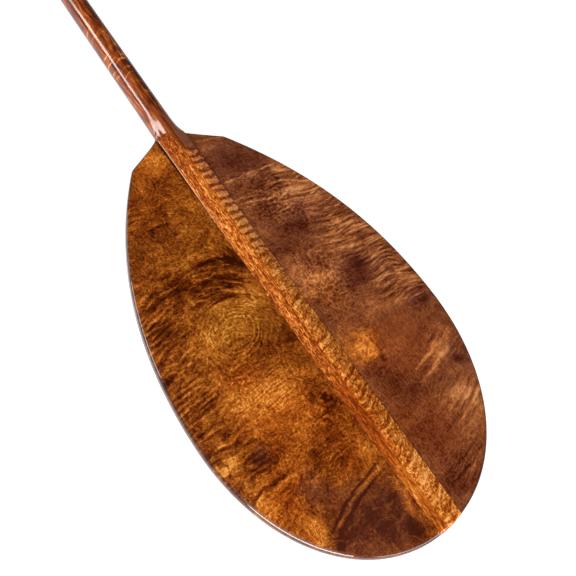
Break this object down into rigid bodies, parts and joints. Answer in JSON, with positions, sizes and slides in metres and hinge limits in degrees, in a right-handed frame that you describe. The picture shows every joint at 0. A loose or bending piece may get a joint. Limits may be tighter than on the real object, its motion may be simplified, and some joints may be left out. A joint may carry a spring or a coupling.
{
  "type": "outrigger canoe steering paddle",
  "caption": "Single-blade wooden paddle: round shaft running on as a ridged spine between two glued-on wings of a broad teardrop blade, with a T grip.",
  "frame": {"origin": "on the flat power face of the blade, on the centreline, halfway between throat and tip", "axes": "+X along the blade to its tip, +Y to the right-hand wing, +Z out of the ribbed face; the shaft runs towards -X and rises 2.5 degrees towards +Z"},
  "size_m": [1.3375, 0.305, 0.0656],
  "materials": {
    "spine_wood": "gloss lacquer over straight-grained golden to red-brown koa",
    "wing_wood_left": "gloss lacquer over curly golden-brown koa with dark bands",
    "wing_wood_right": "gloss lacquer over curly dark red-brown koa",
    "spline_wood": "bare pale hardwood, glued",
    "grip_wood": "gloss lacquer over dark red-brown koa",
    "pin_wood": "gloss lacquer over a pale hardwood dowel",
    "wedge_wood": "gloss lacquer over a pale hardwood wedge"
  },
  "bodies": {
    "root": {"shaft_spine": "spine_wood", "blade_wing_left": "wing_wood_left", "blade_wing_right": "wing_wood_right", "spline_left": "spline_wood", "spline_right": "spline_wood", "t_grip": "grip_wood", "grip_pin": "pin_wood", "tenon_wedge": "wedge_wood"}
  },
  "joints": []
}
